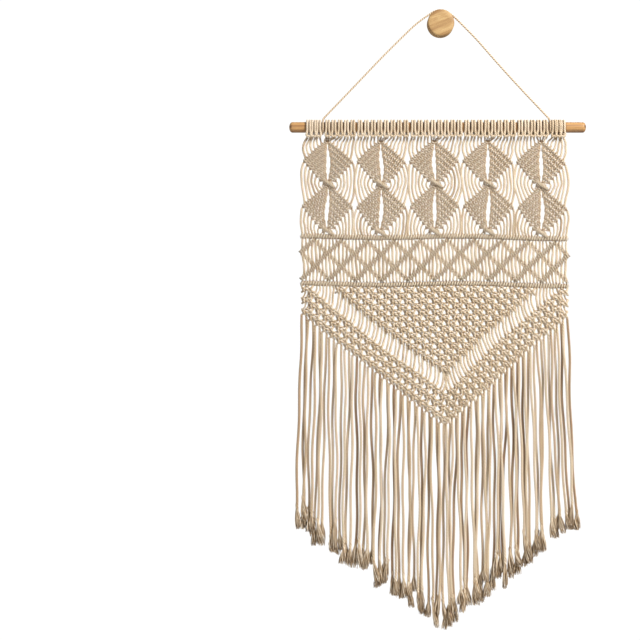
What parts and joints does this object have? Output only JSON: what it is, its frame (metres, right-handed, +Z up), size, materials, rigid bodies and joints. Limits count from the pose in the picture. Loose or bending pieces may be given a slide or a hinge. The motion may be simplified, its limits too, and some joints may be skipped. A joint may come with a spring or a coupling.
{
  "type": "macrame wall hanging",
  "caption": "Knotted cotton cord wall hanging on a wooden dowel, hung by a thin cord from a turned wooden wall knob, with a V-shaped frayed fringe.",
  "frame": {"origin": "centre of the wall knob's back face, on the wall plane", "axes": "+Z up, +Y into the wall, the front faces -Y, +X to the right seen from the front"},
  "size_m": [0.445, 0.057, 0.9257],
  "materials": {
    "cotton_cord": "matt twisted cotton rope, natural cream",
    "fringe_cord": "matt twisted cotton rope with frayed grey-brown ends",
    "thin_cord": "matt thin twisted cotton cord",
    "oak": "oiled, satin",
    "beech": "turned and waxed, satin",
    "zinc_steel": "bright zinc plate"
  },
  "bodies": {
    "wall_mount": {"wall_knob": "beech", "knob_hanger_bolt": "zinc_steel"},
    "hanger": {"hanger_cord": "thin_cord", "hanger_tie_left": "thin_cord", "hanger_tie_right": "thin_cord"},
    "panel": {"dowel_rod": "oak", "lark_head_knots_1": "cotton_cord", "lark_head_knots_2": "cotton_cord", "lark_head_knots_3": "cotton_cord", "lark_head_knots_4": "cotton_cord", "lark_head_knots_5": "cotton_cord", "lark_head_knots_6": "cotton_cord", "lark_head_knots_7": "cotton_cord", "leaf_pair_upper_1": "cotton_cord", "leaf_pair_upper_2": "cotton_cord", "leaf_pair_upper_3": "cotton_cord", "leaf_pair_upper_4": "cotton_cord", "leaf_pair_upper_5": "cotton_cord", "leaf_pair_lower_1": "cotton_cord", "leaf_pair_lower_2": "cotton_cord", "leaf_pair_lower_3": "cotton_cord", "leaf_pair_lower_4": "cotton_cord", "leaf_pair_lower_5": "cotton_cord", "loose_cords_top": "cotton_cord", "loose_cords_middle": "cotton_cord", "loose_cords_bottom": "cotton_cord", "ridge_upper": "cotton_cord", "ridge_lower": "cotton_cord", "diamond_lattice": "cotton_cord", "square_knot_triangle": "cotton_cord", "square_knot_band_left": "cotton_cord", "square_knot_band_right": "cotton_cord", "open_cords_left": "cotton_cord", "open_cords_right": "cotton_cord"},
    "fringe_1": {"fringe_1": "fringe_cord"},
    "fringe_2": {"fringe_2": "fringe_cord"},
    "fringe_3": {"fringe_3": "fringe_cord"},
    "fringe_4": {"fringe_4": "fringe_cord"},
    "fringe_5": {"fringe_5": "fringe_cord"},
    "fringe_6": {"fringe_6": "fringe_cord"},
    "fringe_7": {"fringe_7": "fringe_cord"},
    "fringe_8": {"fringe_8": "fringe_cord"},
    "fringe_9": {"fringe_9": "fringe_cord"},
    "fringe_10": {"fringe_10": "fringe_cord"},
    "fringe_11": {"fringe_11": "fringe_cord"},
    "fringe_12": {"fringe_12": "fringe_cord"},
    "fringe_13": {"fringe_13": "fringe_cord"},
    "fringe_14": {"fringe_14": "fringe_cord"},
    "fringe_15": {"fringe_15": "fringe_cord"},
    "fringe_16": {"fringe_16": "fringe_cord"},
    "fringe_17": {"fringe_17": "fringe_cord"},
    "fringe_18": {"fringe_18": "fringe_cord"},
    "fringe_19": {"fringe_19": "fringe_cord"},
    "fringe_20": {"fringe_20": "fringe_cord"}
  },
  "joints": [
    {"name": "hanger_sway", "type": "hinge", "parent": "wall_mount", "child": "hanger", "pos_m": [0, 0, 0], "axis": [0, 1, 0], "range_deg": [-12, 12]},
    {"name": "panel_swing", "type": "hinge", "parent": "hanger", "child": "panel", "pos_m": [-0.0045, -0.0128, -0.1556], "axis": [-1, 0, 0], "range_deg": [0, 30]},
    {"name": "fringe_swing_1", "type": "hinge", "parent": "panel", "child": "fringe_1", "pos_m": [-0.19869, -0.014, -0.45508], "axis": [-1, 0, 0], "range_deg": [0, 50]},
    {"name": "fringe_swing_2", "type": "hinge", "parent": "panel", "child": "fringe_2", "pos_m": [-0.17705, -0.014, -0.47063], "axis": [-1, 0, 0], "range_deg": [0, 50]},
    {"name": "fringe_swing_3", "type": "hinge", "parent": "panel", "child": "fringe_3", "pos_m": [-0.15543, -0.014, -0.48618], "axis": [-1, 0, 0], "range_deg": [0, 50]},
    {"name": "fringe_swing_4", "type": "hinge", "parent": "panel", "child": "fringe_4", "pos_m": [-0.13379, -0.014, -0.50172], "axis": [-1, 0, 0], "range_deg": [0, 50]},
    {"name": "fringe_swing_5", "type": "hinge", "parent": "panel", "child": "fringe_5", "pos_m": [-0.11217, -0.014, -0.51728], "axis": [-1, 0, 0], "range_deg": [0, 50]},
    {"name": "fringe_swing_6", "type": "hinge", "parent": "panel", "child": "fringe_6", "pos_m": [-0.09054, -0.014, -0.53282], "axis": [-1, 0, 0], "range_deg": [0, 50]},
    {"name": "fringe_swing_7", "type": "hinge", "parent": "panel", "child": "fringe_7", "pos_m": [-0.0689, -0.014, -0.54837], "axis": [-1, 0, 0], "range_deg": [0, 50]},
    {"name": "fringe_swing_8", "type": "hinge", "parent": "panel", "child": "fringe_8", "pos_m": [-0.04727, -0.014, -0.56393], "axis": [-1, 0, 0], "range_deg": [0, 50]},
    {"name": "fringe_swing_9", "type": "hinge", "parent": "panel", "child": "fringe_9", "pos_m": [-0.02565, -0.014, -0.57947], "axis": [-1, 0, 0], "range_deg": [0, 50]},
    {"name": "fringe_swing_10", "type": "hinge", "parent": "panel", "child": "fringe_10", "pos_m": [-0.00402, -0.014, -0.59503], "axis": [-1, 0, 0], "range_deg": [0, 50]},
    {"name": "fringe_swing_11", "type": "hinge", "parent": "panel", "child": "fringe_11", "pos_m": [0.01603, -0.014, -0.59503], "axis": [-1, 0, 0], "range_deg": [0, 50]},
    {"name": "fringe_swing_12", "type": "hinge", "parent": "panel", "child": "fringe_12", "pos_m": [0.03447, -0.014, -0.57947], "axis": [-1, 0, 0], "range_deg": [0, 50]},
    {"name": "fringe_swing_13", "type": "hinge", "parent": "panel", "child": "fringe_13", "pos_m": [0.05292, -0.014, -0.56393], "axis": [-1, 0, 0], "range_deg": [0, 50]},
    {"name": "fringe_swing_14", "type": "hinge", "parent": "panel", "child": "fringe_14", "pos_m": [0.07137, -0.014, -0.54837], "axis": [-1, 0, 0], "range_deg": [0, 50]},
    {"name": "fringe_swing_15", "type": "hinge", "parent": "panel", "child": "fringe_15", "pos_m": [0.08983, -0.014, -0.53282], "axis": [-1, 0, 0], "range_deg": [0, 50]},
    {"name": "fringe_swing_16", "type": "hinge", "parent": "panel", "child": "fringe_16", "pos_m": [0.10827, -0.014, -0.51728], "axis": [-1, 0, 0], "range_deg": [0, 50]},
    {"name": "fringe_swing_17", "type": "hinge", "parent": "panel", "child": "fringe_17", "pos_m": [0.12673, -0.014, -0.50172], "axis": [-1, 0, 0], "range_deg": [0, 50]},
    {"name": "fringe_swing_18", "type": "hinge", "parent": "panel", "child": "fringe_18", "pos_m": [0.14517, -0.014, -0.48618], "axis": [-1, 0, 0], "range_deg": [0, 50]},
    {"name": "fringe_swing_19", "type": "hinge", "parent": "panel", "child": "fringe_19", "pos_m": [0.16362, -0.014, -0.47063], "axis": [-1, 0, 0], "range_deg": [0, 50]},
    {"name": "fringe_swing_20", "type": "hinge", "parent": "panel", "child": "fringe_20", "pos_m": [0.18207, -0.014, -0.45508], "axis": [-1, 0, 0], "range_deg": [0, 50]}
  ],
  "couplings": [
    {"joint": "fringe_swing_1", "follows": "fringe_swing_10", "ratio": 1},
    {"joint": "fringe_swing_2", "follows": "fringe_swing_10", "ratio": 1},
    {"joint": "fringe_swing_3", "follows": "fringe_swing_10", "ratio": 1},
    {"joint": "fringe_swing_4", "follows": "fringe_swing_10", "ratio": 1},
    {"joint": "fringe_swing_5", "follows": "fringe_swing_10", "ratio": 1},
    {"joint": "fringe_swing_6", "follows": "fringe_swing_10", "ratio": 1},
    {"joint": "fringe_swing_7", "follows": "fringe_swing_10", "ratio": 1},
    {"joint": "fringe_swing_8", "follows": "fringe_swing_10", "ratio": 1},
    {"joint": "fringe_swing_9", "follows": "fringe_swing_10", "ratio": 1},
    {"joint": "fringe_swing_11", "follows": "fringe_swing_10", "ratio": 1},
    {"joint": "fringe_swing_12", "follows": "fringe_swing_10", "ratio": 1},
    {"joint": "fringe_swing_13", "follows": "fringe_swing_10", "ratio": 1},
    {"joint": "fringe_swing_14", "follows": "fringe_swing_10", "ratio": 1},
    {"joint": "fringe_swing_15", "follows": "fringe_swing_10", "ratio": 1},
    {"joint": "fringe_swing_16", "follows": "fringe_swing_10", "ratio": 1},
    {"joint": "fringe_swing_17", "follows": "fringe_swing_10", "ratio": 1},
    {"joint": "fringe_swing_18", "follows": "fringe_swing_10", "ratio": 1},
    {"joint": "fringe_swing_19", "follows": "fringe_swing_10", "ratio": 1},
    {"joint": "fringe_swing_20", "follows": "fringe_swing_10", "ratio": 1}
  ]
}
